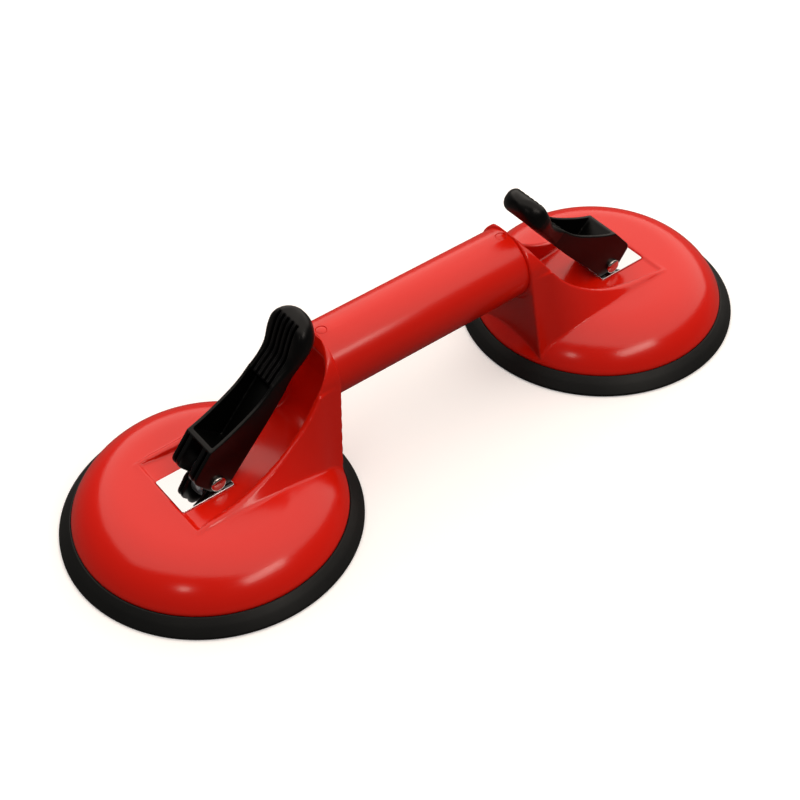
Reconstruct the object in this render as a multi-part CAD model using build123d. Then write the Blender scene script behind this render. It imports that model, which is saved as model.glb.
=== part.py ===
"""A double-cup vacuum lifter for floor tiles, as separate pieces.

Millimetres, +Z up. The origin is on the standing surface, midway between the
cups, and +X runs along the handle. Each cup's pieces are drawn about the cup's
own axis, with +X away from the handle, and then placed: the right cup as it is
drawn, the left cup mirrored.
"""
from build123d import *
import math
import os

os.makedirs("parts", exist_ok=True)

# Whole tool
cup_spacing = 203.0

# Rubber pad
pad_radius = 60.0
pad_edge_height = 1.5
pad_lip_inset = 5.0
pad_lip_height = 7.2
pad_ring_width = 8.0
pad_hollow = 1.2
pad_membrane = 3.0
pad_boss_radius = 20.5
pad_seat_height = 6.5

# Housing dome
rim_inset = 5.7
rim_height = 8.0
crown_height = 24.6
crown_arc_radius = 569.0
crown_edge_radius = 32.0
housing_wall = 2.8
cavity_height = 19.6
rim_gap = 0.3
rib_count = 8
rib_thickness = 2.0
rib_inner_radius = 26.0
spring_boss_radius = 8.5
spring_boss_height = 1.0

# Saddle that carries the handle
crest_arc_radius = 50.0
crest_front_radius = 180.0
crest_low_at = 5.3
crest_lip = 0.35
crest_slope = 52.0
saddle_draft = 5.3
web_thickness = 3.0
scoop_corner_radius = 8.0

# Wear plate and the floor that it lies on
plate_top = 23.8
plate_thickness = 1.4
plate_length = 32.0
plate_width = 20.0
plate_outer_at = 17.0
plate_proud = 0.4
plate_side_gap = 0.15
scoop_margin = 0.3
plate_corner_radius = 0.8

# Handle tube, its neck and the rivets
tube_radius = 15.0
tube_wall = 2.0
tube_axis_height = 52.4
shoulder_offset = 54.0
neck_step = 1.2
spigot_length = 25.0
spigot_wall = 2.5
fit_gap = 0.05
rivet_offset = 3.0
rivet_radius = 1.5
rivet_head_radius = 2.2
rivet_head_height = 0.7
rivet_length = 5.2
head_rounding = 0.7

# Cam lever
lever_angle = 47.4
lever_swing = 129.3
lever_width = 16.6
release_depth = 3.2
lock_depth = 11.54
cam_gap = 0.25
heel_along = -4.4
toe_along = -2.35
toe_radius = 3.0
corner_along = 11.8
corner_radius = 0.6
back_first_slope = -0.62
spine_depth = 6.6
body_end_along = 44.2
body_end_back = 1.3
body_end_depth = 6.1
paddle_inset = 0.05
cheek_thickness = 1.8
web_floor = 2.2
rib_gap = 1.3
cross_wall = 2.2
channel_end_along = 44.8
groove_count = 5
groove_width = 1.35
groove_depth = 1.4
groove_start_along = 46.0
groove_end_along = 68.8

# Pull stud, pin and insert
stud_radius = 4.5
stud_hole_gap = 0.7
eye_thickness = 6.4
eye_side_gap = 0.3
stud_lift = 9.0
insert_radius = 17.0
insert_thickness = 2.0
insert_bottom = 6.3
seat_gap = 0.3
stud_spigot_radius = 3.0
stud_collar_radius = 7.0
stud_collar_height = 1.0
pin_radius = 2.25
pin_head_radius = 3.2
pin_head_height = 1.7
pin_side_gap = 0.1
washer_thickness = 0.8
pin_tail = 0.6

# Return spring
spring_wire_radius = 0.7
spring_wire_sides = 8
spring_top_radius = 10.5
spring_bottom_radius = 15.0
spring_turns = 3.0

# Sizes that follow from the ones above
pad_lip_radius = pad_radius - pad_lip_inset
pad_contact_inner_radius = pad_radius - pad_ring_width
rim_radius = pad_radius - rim_inset
neck_radius = tube_radius + neck_step
plate_seat = plate_top - plate_thickness
recess_floor = plate_top - plate_proud
crest_low = recess_floor + crest_lip
crest_bend = math.radians(crest_slope)
crest_knee = crest_low_at - crest_arc_radius * math.sin(crest_bend)
pin_height = plate_top + release_depth + cam_gap
stud_hole_radius = stud_radius + stud_hole_gap
insert_top = insert_bottom + insert_thickness
half_width = lever_width / 2
slot_half = eye_thickness / 2 + eye_side_gap
cheek_inner = half_width - cheek_thickness
channel_floor = web_floor - spine_depth
crown_fall = crown_arc_radius - math.sqrt(crown_arc_radius**2 - crown_edge_radius**2)
crown_edge_height = crown_height - crown_fall
rivet_sink = rivet_head_height * head_rounding
scoop_end = plate_outer_at + scoop_margin

# Outlines seen from above, as (along, half width), and the lever's back as (along, across)
saddle_stations = [
    (-shoulder_offset, neck_radius, 19.3),
    (-46.0, 16.3, 19.9),
    (-38.0, 16.8, 22.6),
    (-28.0, 17.4, 24.0),
    (-16.0, 17.8, 24.2),
    (-4.0, 18.6, 24.1),
    (8.0, 20.4, 23.5),
    (20.0, 22.0, 22.8),
]
crease_band = [(along, crease) for along, _, crease in saddle_stations[2:-1]] + [(scoop_end, 22.9)]
scoop_stations = [
    (web_thickness - shoulder_offset, 13.0),
    (-40.0, 14.3),
    (-28.0, 15.1),
    (-16.0, 15.5),
    (-4.0, 16.3),
    (8.0, 18.1),
    (scoop_end, 20.9),
]
back_points = [(17.4, 9.2), (24.0, 6.3), (32.3, 3.25), (38.0, 1.9)]
ridge_points = [
    (groove_start_along, 1.2),
    (50.0, 0.75),
    (54.5, 0.7),
    (60.5, 2.9),
    (66.0, 4.6),
    (groove_end_along, 4.8),
]
# The paddle's sections: along, half width, bottom, top and corner radius
paddle_sections = [
    (49.5, 8.8, -5.7, 0.8, 1.8),
    (54.5, 9.7, -5.4, 0.7, 2.2),
    (60.5, 10.9, -5.2, 2.9, 3.2),
    (66.0, 10.5, -5.0, 4.7, 4.0),
    (70.4, 7.8, -3.9, 4.4, 3.3),
    (72.7, 4.0, -2.0, 3.2, 2.0),
]


def dome_section(top, edge_radius, edge_height, foot_radius, foot_height, base):
    """Half of a domed cap: a flat crown arc, a tangent shoulder and a straight foot."""
    middle = edge_radius / 2
    fall = (top - edge_height) / 4
    with BuildSketch(Plane.XZ) as section:
        with BuildLine():
            crown = ThreePointArc((0, top), (middle, top - fall), (edge_radius, edge_height))
            shoulder = TangentArc(crown @ 1, (foot_radius, foot_height), tangent=crown % 1)
            Polyline(shoulder @ 1, (foot_radius, base), (0, base), (0, top))
        make_face()
    return section.sketch


def plan_band(points, bottom, top):
    """A prism whose two mirrored sides follow a spline through (along, half width) points."""
    with BuildSketch(Plane.XY.offset(bottom)) as plan:
        with BuildLine():
            near = Spline([(along, -half) for along, half in points])
            far = Spline([(along, half) for along, half in points])
            Line(near @ 0, far @ 0)
            Line(near @ 1, far @ 1)
        make_face()
    return extrude(plan.sketch, top - bottom)


def crest_height(along):
    """Height of the saddle's crest at a place along the cup."""
    if along > crest_knee:
        arc = crest_arc_radius if along < crest_low_at else crest_front_radius
        return crest_low + arc - math.sqrt(arc**2 - (along - crest_low_at) ** 2)
    centre_height = crest_low + crest_arc_radius
    knee_height = centre_height - crest_arc_radius * math.cos(crest_bend)
    return knee_height + (crest_knee - along) * math.tan(crest_bend)


def dome_height(radius):
    """Height of the dome's outside at a radius."""
    if radius <= crown_edge_radius:
        return crown_height - crown_arc_radius + math.sqrt(crown_arc_radius**2 - radius**2)
    lean = math.asin(crown_edge_radius / crown_arc_radius)
    run = rim_radius - crown_edge_radius
    drop = crown_edge_height - rim_height
    half_turn = math.atan2(drop, run) - lean
    arc = math.hypot(run, drop) / (2 * math.sin(half_turn))
    centre_radius = crown_edge_radius - arc * math.sin(lean)
    centre_height = crown_edge_height - arc * math.cos(lean)
    return centre_height + math.sqrt(max(arc**2 - (radius - centre_radius) ** 2, 0.0))


def make_pad():
    """Rubber disc: sealing ring, sloped lip, seat for the rim, thin membrane and pocketed boss."""
    floor = pad_hollow + pad_membrane
    pocket = insert_bottom - seat_gap
    pocket_radius = insert_radius + seat_gap
    boss_top = insert_top - seat_gap
    seat_radius = rim_radius + rim_gap
    with BuildSketch(Plane.XZ) as section:
        with BuildLine():
            Polyline(
                (0, pad_hollow),
                (pad_contact_inner_radius - 2 * pad_hollow, pad_hollow),
                (pad_contact_inner_radius, 0),
                (pad_radius - pad_edge_height / 3, 0),
                (pad_radius, pad_edge_height / 3),
                (pad_radius, pad_edge_height),
                (pad_lip_radius, pad_lip_height),
                (seat_radius, pad_lip_height),
                (seat_radius, pad_seat_height),
                (rim_radius - housing_wall - 1, pad_seat_height),
                (rim_radius - housing_wall - pad_membrane, floor),
                (pad_boss_radius + pad_membrane, floor),
                (pad_boss_radius, boss_top),
                (pocket_radius, boss_top),
                (pocket_radius, pocket),
                (0, pocket),
                close=True,
            )
        make_face()
    return revolve(section.sketch, Axis.Z)


def make_saddle():
    """The wedge under the handle: its sides twist from upright at the back to flat at the plate."""
    skirt = 0.4
    depth = 2.5
    sink = 0.15
    sections = []
    for along, crest_half, crease_half in saddle_stations:
        top = min(crest_height(along), tube_axis_height)
        crease = max(dome_height(math.hypot(along, crease_half)), rim_height + 2 * depth) - sink
        outline = [
            (crease_half + skirt, rim_height),
            (crease_half + skirt, crease - depth + sink),
            (crease_half + sink, crease),
            (crest_half, top),
        ]
        mirrored = [(-half, height) for half, height in reversed(outline)]
        with BuildSketch(Plane.YZ.offset(along)) as section:
            with BuildLine():
                Polyline(*outline, *mirrored, close=True)
            make_face()
        sections.append(section.sketch)
    wedge = loft(sections)
    lean = (tube_axis_height - rim_height) * math.tan(math.radians(saddle_draft))
    with BuildSketch(Plane.XZ) as behind:
        with BuildLine():
            Polyline(
                (-shoulder_offset, tube_axis_height),
                (-shoulder_offset + lean, rim_height),
                (-2 * shoulder_offset, rim_height),
                (-2 * shoulder_offset, tube_axis_height),
                close=True,
            )
        make_face()
    return wedge - extrude(behind.sketch, pad_radius, both=True)


def make_neck():
    """The round neck, cut along the crest line."""
    length = shoulder_offset + saddle_stations[3][0]
    neck = Plane.YZ.offset(-shoulder_offset) * Pos(0, tube_axis_height) * Circle(neck_radius)
    return extrude(neck, length)


def above_crest():
    """All that lies above the crest line over the steep part of the saddle."""
    ahead = saddle_stations[4][0]
    ceiling = 2 * tube_axis_height
    behind = -shoulder_offset - neck_radius
    places = (behind, crest_knee, (crest_knee + ahead) / 2, ahead)
    start, knee, middle, end = [(along, crest_height(along)) for along in places]
    with BuildSketch(Plane.XZ) as section:
        with BuildLine():
            Line(start, knee)
            ThreePointArc(knee, middle, end)
            Polyline(end, (ahead, ceiling), (behind, ceiling), start)
        make_face()
    return extrude(section.sketch, pad_radius, both=True)


def make_scoop():
    """The open hollow for the lever: flat floor, rounded back corner, leaning back wall."""
    lean = (tube_axis_height - recess_floor) * math.tan(math.radians(saddle_draft))
    back = web_thickness - shoulder_offset
    ceiling = 2 * tube_axis_height
    with BuildSketch(Plane.XZ) as side:
        with BuildLine():
            Polyline(
                (scoop_end, recess_floor),
                (back + lean, recess_floor),
                (back, tube_axis_height),
                (back, ceiling),
                (scoop_end, ceiling),
                close=True,
            )
        make_face()
        corner = side.vertices().sort_by_distance((back + lean, recess_floor, 0))[0]
        fillet(corner, scoop_corner_radius)
    plan = plan_band(scoop_stations, recess_floor, ceiling)
    return plan & extrude(side.sketch, pad_radius, both=True)


def make_ribs(cavity):
    """Radial ribs under the dome, kept to the space that the cavity leaves them."""
    foot = rim_height + pad_membrane / 2
    with BuildSketch(Plane.XZ) as section:
        with BuildLine():
            Polyline(
                (rib_inner_radius, crown_height),
                (rib_inner_radius, cavity_height - 2 * pad_membrane),
                (rim_radius, foot),
                (rim_radius, crown_height),
                close=True,
            )
        make_face()
    rib = extrude(section.sketch, rib_thickness / 2, both=True)
    first = 180 / rib_count
    turned = [Rot(0, 0, first + 360 * turn / rib_count) * rib for turn in range(rib_count)]
    return [piece & cavity for piece in turned]


def make_housing():
    """Dome, saddle, neck and spigot in one moulding, open to the lever and hollow below."""
    dome = revolve(
        dome_section(
            crown_height, crown_edge_radius, crown_edge_height, rim_radius, rim_height, pad_seat_height
        ),
        Axis.Z,
    )
    footprint = plan_band(crease_band, rim_height + housing_wall, 2 * tube_axis_height)
    outside = (dome - footprint) + make_saddle() + (make_neck() - above_crest())
    outside = outside - above_crest()
    cavity = revolve(
        dome_section(
            cavity_height,
            crown_edge_radius,
            cavity_height - pad_edge_height / 3,
            rim_radius - housing_wall,
            rim_height,
            0,
        ),
        Axis.Z,
    )
    shell = outside - make_scoop() - cavity
    for rib in make_ribs(cavity):
        shell = shell + rib
    boss = Cylinder(spring_boss_radius, spring_boss_height)
    shell = shell + Pos(0, 0, cavity_height - spring_boss_height / 2) * boss
    shell = shell - Pos(0, 0, recess_floor) * Cylinder(stud_hole_radius, recess_floor)
    shell = shell - plate_blank(plate_side_gap, plate_thickness)
    spigot_radius = tube_radius - tube_wall - fit_gap
    spigot_end = Plane.YZ.offset(-shoulder_offset - spigot_length) * Pos(0, tube_axis_height)
    spigot_wall_ring = Circle(spigot_radius) - Circle(spigot_radius - spigot_wall)
    shell = shell + extrude(spigot_end * spigot_wall_ring, spigot_length)
    rivet_hole = Pos(-shoulder_offset - rivet_offset, 0, tube_axis_height + tube_radius)
    return shell - rivet_hole * Cylinder(rivet_radius + fit_gap, 2 * spigot_radius)


def plate_blank(gap, height):
    """The wear plate's outline, larger by a gap all round, from its seat up."""
    outline = Rectangle(plate_length + 2 * gap, plate_width + 2 * gap)
    outline = fillet(outline.vertices(), plate_corner_radius + gap)
    return extrude(Pos(plate_outer_at - plate_length / 2, 0, plate_seat) * outline, height)


def make_plate():
    """Flat wear plate with the stud's hole, let into the recess floor."""
    hole = Pos(0, 0, plate_top) * Cylinder(stud_hole_radius, 2 * plate_top)
    return plate_blank(0, plate_thickness) - hole


def make_tube():
    """Round handle tube, with a spot-faced rivet hole over each spigot."""
    length = cup_spacing - 2 * shoulder_offset
    wall = Circle(tube_radius) - Circle(tube_radius - tube_wall)
    tube = extrude(Plane.YZ.offset(-length / 2) * Pos(0, tube_axis_height) * wall, length)
    top = tube_axis_height + tube_radius
    for side in (-1, 1):
        spot = Pos(side * (length / 2 - rivet_offset), 0, top)
        tube = tube - spot * Cylinder(rivet_radius + fit_gap, 4 * tube_wall)
        tube = tube - spot * Cylinder(rivet_head_radius + rim_gap / 2, 2 * rivet_sink)
    return tube


def make_rivet():
    """Button-headed rivet that pins the tube to the spigot."""
    seat = tube_axis_height + tube_radius - rivet_sink
    shank = Cylinder(rivet_radius, rivet_length, align=(Align.CENTER, Align.CENTER, Align.MAX))
    head = Cylinder(rivet_head_radius, rivet_head_height, align=(Align.CENTER, Align.CENTER, Align.MIN))
    head = fillet(head.edges().group_by(Axis.Z)[-1], rivet_head_height * head_rounding)
    return Pos(-shoulder_offset - rivet_offset, 0, seat) * (shank + head)


def make_insert():
    """Steel disc that the pad is moulded round."""
    disc = Cylinder(insert_radius, insert_thickness, align=(Align.CENTER, Align.CENTER, Align.MIN))
    disc = fillet(disc.edges(), insert_thickness / 4)
    hole = Cylinder(stud_spigot_radius + fit_gap, 3 * insert_thickness)
    return Pos(0, 0, insert_bottom) * (disc - hole)


def make_stud():
    """Pull stud: spigot in the insert, collar, round shank, and a flat eye about the pin."""
    upright = (Align.CENTER, Align.CENTER, Align.MIN)
    spigot = Pos(0, 0, insert_bottom) * Cylinder(stud_spigot_radius, insert_thickness, align=upright)
    collar = Pos(0, 0, insert_top) * Cylinder(stud_collar_radius, stud_collar_height, align=upright)
    flats_from = plate_top - stud_lift - fit_gap
    shank = Pos(0, 0, insert_top) * Cylinder(stud_radius, flats_from - insert_top, align=upright)
    blade_height = pin_height - flats_from
    blade = Cylinder(stud_radius, blade_height, align=upright) & Box(
        2 * stud_radius, eye_thickness, blade_height, align=upright
    )
    blade = Pos(0, 0, flats_from) * blade
    across = Plane.XZ * Pos(0, pin_height)
    eye = extrude(across * Circle(stud_radius), eye_thickness / 2, both=True)
    hole = extrude(across * Circle(pin_radius + fit_gap / 2), eye_thickness, both=True)
    return spigot + collar + shank + blade + eye - hole


def make_pin():
    """Pivot pin with a rounded head on the near side."""
    reach = half_width + pin_side_gap
    tail = reach + washer_thickness + pin_tail
    near_end = Plane.XZ.offset(reach) * Pos(0, pin_height)
    shank = extrude(near_end * Circle(pin_radius), -(reach + tail))
    head = extrude(near_end * Circle(pin_head_radius), pin_head_height)
    head = fillet(head.edges().group_by(Axis.Y)[0], pin_head_height * head_rounding)
    pin = shank + head
    return chamfer(pin.edges().group_by(Axis.Y)[-1], pin_tail / 2)


def make_washer():
    """Lock washer pressed on the pin's far end."""
    far_side = Plane.XZ.offset(-(half_width + pin_side_gap)) * Pos(0, pin_height)
    ring = Circle(pin_head_radius) - Circle(pin_radius + fit_gap / 2)
    return extrude(far_side * ring, -washer_thickness)


def make_spring():
    """Conical return spring between the insert and the crown."""
    low = insert_top + seat_gap + spring_wire_radius
    high = cavity_height - seat_gap - spring_wire_radius
    height = high - low
    lean = math.degrees(math.atan2(spring_top_radius - spring_bottom_radius, height))
    path = Helix(height / spring_turns, height, spring_bottom_radius, center=(0, 0, low), cone_angle=lean)
    wire = Plane(origin=path @ 0, z_dir=path % 0) * RegularPolygon(spring_wire_radius, spring_wire_sides)
    return sweep(wire, path=path, is_frenet=True)


def cam_point(direction, distance, along):
    """A point on one of the cam's flats, at a place along the lever."""
    across = (distance - direction[0] * along) / direction[1]
    return along, across


def make_lever_body(side_plane):
    """The lever's flat-sided part: cam, cheeks and back, as one block."""
    turn = math.radians(lever_angle + lever_swing)
    lean = math.radians(lever_angle)
    release = (-math.sin(lean), -math.cos(lean))
    lock = (-math.sin(turn), -math.cos(turn))
    heel = cam_point(release, release_depth, heel_along)
    toe = cam_point(lock, lock_depth, toe_along)
    corner = cam_point(lock, lock_depth, corner_along)
    foot_along = (release_depth - release[1] * -spine_depth) / release[0]
    back_end = (body_end_along, body_end_back)
    with BuildSketch(side_plane) as outline:
        with BuildLine():
            Polyline((foot_along, -spine_depth), heel, toe, corner)
            Spline(corner, *back_points, back_end, tangents=[(1, back_first_slope), (1, 0)])
            Polyline(
                back_end,
                (body_end_along, -body_end_depth),
                (back_points[2][0], -spine_depth),
                (foot_along, -spine_depth),
            )
        make_face()
        fillet(outline.vertices().sort_by_distance((*toe, 0))[0], toe_radius)
        fillet(outline.vertices().sort_by_distance((*corner, 0))[0], corner_radius)
    return extrude(outline.sketch, half_width, both=True)


def make_paddle(side_plane):
    """The thumb paddle: rounded sections that flare, dish and close to a round end."""
    start = (body_end_along, half_width - paddle_inset, paddle_inset - body_end_depth)
    rings = [(*start, body_end_back - paddle_inset, corner_radius)] + paddle_sections
    sections = []
    for along, half, bottom, top, radius in rings:
        station = Plane(
            origin=side_plane.from_local_coords((along, (bottom + top) / 2, 0)),
            x_dir=side_plane.z_dir,
            z_dir=side_plane.x_dir,
        )
        sections.append(station * RectangleRounded(2 * half, top - bottom, radius))
    return loft(sections)


def cut_channel(lever, side_plane):
    """The open channel between the cheeks, with a ramp up to the paddle."""
    reach = 2 * lever_width
    ramp = spine_depth / 2
    channel_start = corner_along + cross_wall
    with BuildSketch(side_plane) as channel:
        with BuildLine():
            Polyline(
                (channel_start, channel_floor),
                (channel_end_along - ramp, channel_floor),
                (channel_end_along, 2 * ramp),
                (channel_end_along, reach),
                (channel_start, reach),
                close=True,
            )
        make_face()
    return lever - extrude(channel.sketch, cheek_inner, both=True)


def cut_cam(lever, side_plane):
    """The slot for the stud's eye, the pocket behind it and the gaps between the cam plates."""
    reach = 2 * lever_width
    slot_end = stud_radius + 2 * stud_hole_gap
    slot = side_plane * Pos(slot_end - reach / 2, 0) * Rectangle(reach, 2 * reach)
    lever = lever - extrude(slot, slot_half, both=True)
    cam_length = corner_along - cross_wall / 4
    pocket = side_plane * Pos(cam_length / 2, channel_floor + reach / 2) * Rectangle(cam_length, reach)
    lever = lever - extrude(pocket, slot_half, both=True)
    kerf = side_plane * Pos(cam_length - reach / 2, channel_floor + reach / 2) * Rectangle(reach, reach)
    for side in (-1, 1):
        middle = side * (cheek_inner - rib_gap / 2)
        lever = lever - Pos(0, middle, 0) * extrude(kerf, rib_gap / 2, both=True)
    return lever


def cut_grooves(lever, side_plane):
    """Grooves along the paddle's back, which follow its dish and stop short of its end."""
    above = lever_width / 2
    with BuildSketch(side_plane) as groove:
        with BuildLine():
            floor_line = Spline([(along, across - groove_depth) for along, across in ridge_points])
            Polyline(
                floor_line @ 1,
                (groove_end_along, above),
                (groove_start_along - groove_depth, above),
                (groove_start_along - groove_depth, ridge_points[0][1] - groove_depth),
                floor_line @ 0,
            )
        make_face()
    band = extrude(groove.sketch, groove_width / 2, both=True)
    pitch = lever_width / (groove_count + 1)
    for index in range(groove_count):
        lever = lever - Pos(0, pitch * (index + 1) - half_width, 0) * band
    return lever


def make_lever():
    """Cam lever: four cam plates, an open channel, and a dished paddle with grooves."""
    lean = math.radians(lever_angle)
    side_plane = Plane(
        origin=(0, 0, pin_height), x_dir=(-math.cos(lean), 0, math.sin(lean)), z_dir=(0, 1, 0)
    )
    lever = make_lever_body(side_plane) + make_paddle(side_plane)
    lever = cut_channel(lever, side_plane)
    lever = cut_cam(lever, side_plane)
    lever = cut_grooves(lever, side_plane)
    across = Plane.XZ * Pos(0, pin_height)
    return lever - extrude(across * Circle(pin_radius + fit_gap), lever_width, both=True)


def place(shape, side):
    """Moves a cup's piece to its end of the tool, mirrored on the left."""
    if side < 0:
        shape = mirror(shape, about=Plane.YZ)
    return Pos(side * cup_spacing / 2, 0, 0) * shape


export_step(make_tube(), "parts/handle_tube.step")
makers = {
    "housing": make_housing,
    "wear_plate": make_plate,
    "rubber_pad": make_pad,
    "pad_insert": make_insert,
    "pull_stud": make_stud,
    "return_spring": make_spring,
    "cam_lever": make_lever,
    "pivot_pin": make_pin,
    "pin_washer": make_washer,
    "handle_rivet": make_rivet,
}
for piece, make in makers.items():
    shape = make()
    for side, word in ((-1, "left"), (1, "right")):
        export_step(place(shape, side), f"parts/{word}_{piece}.step")
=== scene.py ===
"""Looks of a double-cup vacuum lifter for floor tiles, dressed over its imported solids.

The frame is the solids' own: metres, the origin on the standing surface midway
between the cups, +X along the handle, +Z up. Sizes are written in millimetres,
as a toolmaker would, and each mesh is scaled once, when it is finished. A cup's
pieces are modelled about the cup's own axis with +X away from the handle, then
set on the right cup as they are and on the left cup mirrored.
"""

import logging
import math
from collections.abc import Callable, Sequence
from dataclasses import dataclass, field
from enum import Enum

import bpy
from mathutils import Matrix, Quaternion, Vector

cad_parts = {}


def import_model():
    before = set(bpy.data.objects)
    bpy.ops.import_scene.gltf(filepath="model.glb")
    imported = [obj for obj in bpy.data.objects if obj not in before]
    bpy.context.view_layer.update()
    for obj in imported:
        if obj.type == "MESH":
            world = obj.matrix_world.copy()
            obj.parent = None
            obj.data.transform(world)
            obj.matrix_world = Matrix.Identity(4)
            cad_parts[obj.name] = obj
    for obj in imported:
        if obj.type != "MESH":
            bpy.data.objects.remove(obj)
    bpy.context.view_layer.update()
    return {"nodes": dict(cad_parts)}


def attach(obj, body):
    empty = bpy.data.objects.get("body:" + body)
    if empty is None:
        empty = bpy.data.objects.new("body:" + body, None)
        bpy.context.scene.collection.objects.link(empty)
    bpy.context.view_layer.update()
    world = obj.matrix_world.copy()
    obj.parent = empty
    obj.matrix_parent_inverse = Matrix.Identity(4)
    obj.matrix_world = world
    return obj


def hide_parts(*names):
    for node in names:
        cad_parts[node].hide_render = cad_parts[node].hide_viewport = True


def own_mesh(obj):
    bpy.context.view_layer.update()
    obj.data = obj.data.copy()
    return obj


Piece = bpy.types.Object
Tree = bpy.types.NodeTree
Socket = bpy.types.NodeSocket
Point = tuple[float, float]
Triple = tuple[float, float, float]

LOG = logging.getLogger("vacuum_lifter")
MM = 0.001
# Turns that lay an upright piece along the handle, or across it with its top to the near side
ALONG_HANDLE = (0.0, math.pi / 2, 0.0)
ACROSS_HANDLE = (math.pi / 2, 0.0, 0.0)
# Numbers of a Mix node's sockets while it mixes colours
MIX_SHARE, MIX_FIRST, MIX_SECOND, MIX_RESULT = 0, 6, 7, 2


class Side(Enum):
    """The two ends of the tool: the sign of X and the word in the node names."""

    LEFT = -1
    RIGHT = 1

    @property
    def word(self) -> str:
        """The side's word in node and body names."""
        return self.name.lower()


def colour(code: str) -> tuple[float, float, float, float]:
    """Turns an sRGB hex colour to the linear values that a shader takes.

    Args:
        code: six hex digits, with or without a leading hash.

    Returns:
        Red, green, blue and an alpha of 1.
    """
    digits = code.lstrip("#")
    parts = [int(digits[at : at + 2], 16) / 255 for at in (0, 2, 4)]
    linear = [part / 12.92 if part <= 0.04045 else ((part + 0.055) / 1.055) ** 2.4 for part in parts]
    return (linear[0], linear[1], linear[2], 1.0)


def add_node(
    tree: Tree, kind: str, sockets: dict[str | int, object] | None = None, **settings: object
) -> bpy.types.Node:
    """Adds a node, sets it up, and links or fills its inputs.

    Args:
        tree: the material's or world's node tree.
        kind: the node's type name.
        sockets: input name or number to a plain value, or to an output socket to link.
        **settings: the node's own properties, such as a blend type.

    Returns:
        The new node.
    """
    node = tree.nodes.new(kind)
    for name, value in settings.items():
        setattr(node, name, value)
    for name, value in (sockets or {}).items():
        socket = node.inputs[name]
        if isinstance(value, bpy.types.NodeSocket):
            tree.links.new(value, socket)
        else:
            socket.default_value = value
    return node


def empty_tree(owner: bpy.types.Material | bpy.types.World) -> Tree:
    """Clears the nodes of a new material or world.

    Args:
        owner: the material or world.

    Returns:
        Its empty tree.
    """
    owner.use_nodes = True
    owner.node_tree.nodes.clear()
    return owner.node_tree


def mix_colours(tree: Tree, share: Socket, first: str, second: str) -> Socket:
    """Goes from the first hex colour, at a share of 0, to the second, at 1."""
    sockets = {MIX_SHARE: share, MIX_FIRST: colour(first), MIX_SECOND: colour(second)}
    return add_node(tree, "ShaderNodeMix", sockets, data_type="RGBA").outputs[MIX_RESULT]


def mix_values(tree: Tree, share: Socket, first: float, second: float) -> Socket:
    """Goes from the first value, at a share of 0, to the second, at 1."""
    sockets = {"Value": share, "To Min": first, "To Max": second}
    return add_node(tree, "ShaderNodeMapRange", sockets).outputs["Result"]


@dataclass(frozen=True)
class Finish:
    """A surface: its name, the record's slot, two near colours that it drifts between, its gloss.

    The sizes and the depth of its patterns are in millimetres.
    """

    name: str
    slot: str
    base: str
    drift: str
    roughness: float
    metallic: float = 0.0
    drift_size: float = 30.0
    grain_size: float = 0.8
    grain_depth: float = 0.01
    gloss_spread: float = 0.05
    specular: float = 0.5

    def build(self) -> bpy.types.Material:
        """Makes the material.

        Returns:
            A material on Object coordinates, whose patterns have real sizes.
        """
        material = bpy.data.materials.new(self.name)
        tree = empty_tree(material)
        place = add_node(tree, "ShaderNodeTexCoord").outputs["Object"]
        shader = add_node(tree, "ShaderNodeBsdfPrincipled", {
            "Base Color": self.surface_colour(tree, place),
            "Roughness": self.surface_roughness(tree, place),
            "Normal": self.surface_bump(tree, place),
            "Metallic": self.metallic,
            "Specular IOR Level": self.specular,
        })
        add_node(tree, "ShaderNodeOutputMaterial", {"Surface": shader.outputs["BSDF"]})
        return material

    def surface_colour(self, tree: Tree, place: Socket) -> Socket:
        """Drifts between the two colours over the finish's own distance."""
        cloud = self.noise(tree, place, self.drift_size, detail=3.0)
        return mix_colours(tree, cloud, self.base, self.drift)

    def surface_roughness(self, tree: Tree, place: Socket) -> Socket:
        """Spreads the roughness a little, as handling does.

        Args:
            tree: the node tree.
            place: the coordinates to read.

        Returns:
            The roughness's socket.
        """
        cloud = self.noise(tree, place, self.drift_size / 3, detail=4.0)
        half = self.gloss_spread / 2
        return mix_values(tree, cloud, self.roughness - half, self.roughness + half)

    def surface_bump(self, tree: Tree, place: Socket) -> Socket:
        """Raises the mould's, paint's or metal's own fine grain.

        Args:
            tree: the node tree.
            place: the coordinates to read.

        Returns:
            The normal's socket.
        """
        grain = self.noise(tree, place, self.grain_size, detail=2.0)
        sockets = {"Height": grain, "Distance": self.grain_depth * MM, "Strength": 1.0}
        return add_node(tree, "ShaderNodeBump", sockets).outputs["Normal"]

    @staticmethod
    def noise(tree: Tree, place: Socket, size: float, detail: float) -> Socket:
        """Makes a noise whose waves are a real size apart, in millimetres."""
        sockets = {"Vector": place, "Scale": 1 / (size * MM), "Detail": detail}
        return add_node(tree, "ShaderNodeTexNoise", sockets).outputs[0]


# ABS from a polished mould: deep red with a clear, slightly wavy gloss
MOULDED_ABS = Finish(
    "moulded_abs_red", "red_plastic", "#E61A06", "#DE1705", 0.18,
    drift_size=40.0, grain_size=9.0, grain_depth=0.02,
)
# Enamel sprayed on steel tube: the same red, with the fine ripple that sprayed paint dries to
SPRAYED_ENAMEL = Finish(
    "sprayed_enamel_red", "red_paint", "#E61B07", "#DD1806", 0.23,
    drift_size=35.0, grain_size=2.2, grain_depth=0.012,
)
# Natural rubber from a plain mould: black that bloom turns faintly grey-green, with a dull sheen
MOULDED_RUBBER = Finish(
    "moulded_rubber_black", "black_rubber", "#090A0A", "#0E100F", 0.48,
    drift_size=14.0, grain_size=0.6, grain_depth=0.02, gloss_spread=0.12, specular=0.28,
)
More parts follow.
